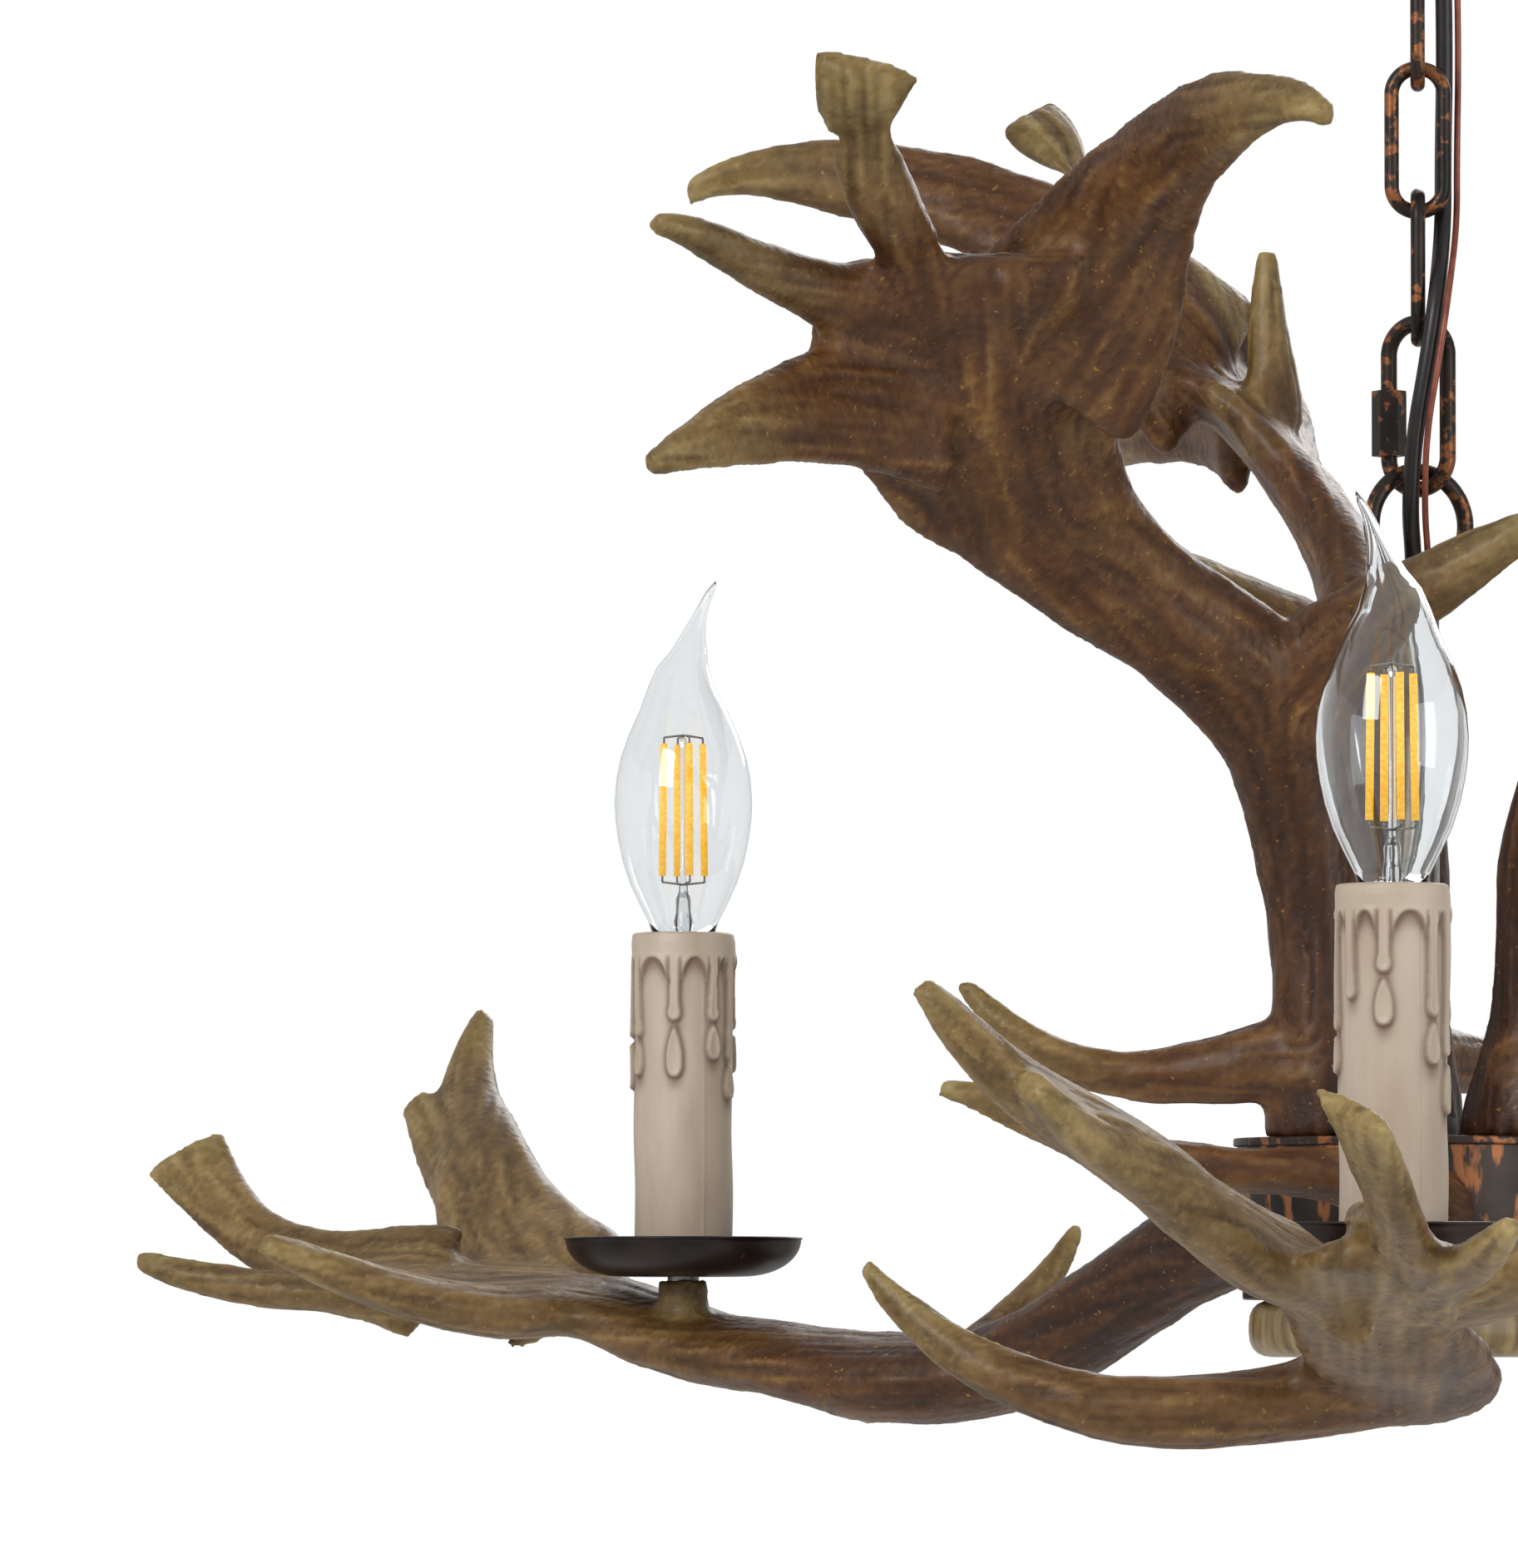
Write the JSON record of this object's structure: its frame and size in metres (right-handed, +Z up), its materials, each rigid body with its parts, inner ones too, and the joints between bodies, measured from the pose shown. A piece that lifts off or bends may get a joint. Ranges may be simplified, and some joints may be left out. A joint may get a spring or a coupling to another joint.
{
  "type": "antler chandelier",
  "caption": "Hanging chandelier of cast resin antlers around a metal drum, with candle lights in drip pans, hung by a short chain.",
  "frame": {"origin": "centre of the mounting strap's ceiling face, on the chain's axis", "axes": "+Z up into the ceiling, along the chain; the front light's arm points close to -Y; +X to the right"},
  "size_m": [0.6902, 0.6526, 0.4919],
  "materials": {
    "antler_resin": "cast resin, stained and varnished",
    "bottom_cap_resin": "cast resin with a wood grain, varnished",
    "bronze_enamel": "dark bronze enamel with copper rubbed through",
    "zinc_steel": "zinc plated",
    "candle_plastic": "moulded wax drips with brown glaze in the creases",
    "holder_plastic": "moulded",
    "bulb_cap_nickel": "nickel plated",
    "filament": "yellow phosphor coating",
    "cord_jacket": "smooth twin flex",
    "ground_jacket": "copper coloured jacket",
    "bulb_glass": "clear blown glass"
  },
  "bodies": {
    "ceiling": {"mounting_strap": "zinc_steel", "strap_locknut": "zinc_steel", "ceiling_nipple": "zinc_steel", "canopy": "bronze_enamel", "canopy_ring_nut": "bronze_enamel", "canopy_loop": "bronze_enamel", "supply_cord": "cord_jacket", "ground_wire": "ground_jacket"},
    "link_1": {"chain_link_1": "bronze_enamel"},
    "link_2": {"chain_link_2": "bronze_enamel"},
    "link_3": {"chain_link_3": "bronze_enamel"},
    "link_4": {"chain_link_4": "bronze_enamel"},
    "link_5": {"chain_link_5": "bronze_enamel"},
    "hook": {"quick_link": "bronze_enamel"},
    "hook_sleeve": {"quick_link_sleeve": "bronze_enamel"},
    "fixture": {"top_loop": "bronze_enamel", "center_pipe": "zinc_steel", "pipe_upper_nut": "zinc_steel", "pipe_lower_nut": "zinc_steel", "hub_shell": "bronze_enamel", "hub_top_plate": "bronze_enamel", "hub_bottom_plate": "bronze_enamel", "bottom_cap": "bottom_cap_resin", "lower_antler_screws": "zinc_steel", "upper_antler_screws": "zinc_steel", "lower_antler_front": "antler_resin", "lower_antler_left": "antler_resin", "lower_antler_right": "antler_resin", "upper_antler_left": "antler_resin", "upper_antler_back": "antler_resin", "upper_antler_right": "antler_resin", "lamp_stem_front": "zinc_steel", "stem_nut_front": "zinc_steel", "drip_pan_front": "bronze_enamel", "lamp_holder_front": "holder_plastic", "candle_sleeve_front": "candle_plastic", "lamp_stem_left": "zinc_steel", "stem_nut_left": "zinc_steel", "drip_pan_left": "bronze_enamel", "lamp_holder_left": "holder_plastic", "candle_sleeve_left": "candle_plastic", "lamp_stem_right": "zinc_steel", "stem_nut_right": "zinc_steel", "drip_pan_right": "bronze_enamel", "lamp_holder_right": "holder_plastic", "candle_sleeve_right": "candle_plastic"},
    "bulb_front": {"bulb_cap_front": "bulb_cap_nickel", "bulb_glass_front": "bulb_glass", "bulb_filaments_front": "filament"},
    "bulb_left": {"bulb_cap_left": "bulb_cap_nickel", "bulb_glass_left": "bulb_glass", "bulb_filaments_left": "filament"},
    "bulb_right": {"bulb_cap_right": "bulb_cap_nickel", "bulb_glass_right": "bulb_glass", "bulb_filaments_right": "filament"}
  },
  "joints": [
    {"name": "link_1_swing", "type": "hinge", "parent": "ceiling", "child": "link_1", "pos_m": [0, 0, -0.06405], "axis": [1, 0, 0], "range_deg": [-8, 8], "deforming": ["supply_cord", "ground_wire"]},
    {"name": "link_2_swing", "type": "hinge", "parent": "link_1", "child": "link_2", "pos_m": [0, 0, -0.09525], "axis": [0, 1, 0], "range_deg": [-8, 8], "deforming": ["supply_cord", "ground_wire"]},
    {"name": "link_3_swing", "type": "hinge", "parent": "link_2", "child": "link_3", "pos_m": [0, 0, -0.1267], "axis": [1, 0, 0], "range_deg": [-8, 8], "deforming": ["supply_cord", "ground_wire"]},
    {"name": "link_4_swing", "type": "hinge", "parent": "link_3", "child": "link_4", "pos_m": [0, 0, -0.15815], "axis": [0, 1, 0], "range_deg": [-8, 8], "deforming": ["supply_cord", "ground_wire"]},
    {"name": "link_5_swing", "type": "hinge", "parent": "link_4", "child": "link_5", "pos_m": [0, 0, -0.1896], "axis": [1, 0, 0], "range_deg": [-8, 8], "deforming": ["supply_cord", "ground_wire"]},
    {"name": "hook_swing", "type": "hinge", "parent": "link_5", "child": "hook", "pos_m": [0, 0, -0.22105], "axis": [0, 1, 0], "range_deg": [-8, 8], "deforming": ["supply_cord", "ground_wire"]},
    {"name": "fixture_swing", "type": "hinge", "parent": "hook", "child": "fixture", "pos_m": [0, 0, -0.2579], "axis": [0.8988, -0.4384, 0], "range_deg": [-8, 8], "deforming": ["supply_cord", "ground_wire"]},
    {"name": "hook_sleeve_lift", "type": "slide", "parent": "hook", "child": "hook_sleeve", "axis": [0, 0, 1], "range_m": [0, 0.008]},
    {"name": "bulb_front_out", "type": "slide", "parent": "fixture", "child": "bulb_front", "axis": [0, 0, 1], "range_m": [0, 0.03]},
    {"name": "bulb_left_out", "type": "slide", "parent": "fixture", "child": "bulb_left", "axis": [0, 0, 1], "range_m": [0, 0.03]},
    {"name": "bulb_right_out", "type": "slide", "parent": "fixture", "child": "bulb_right", "axis": [0, 0, 1], "range_m": [0, 0.03]}
  ]
}
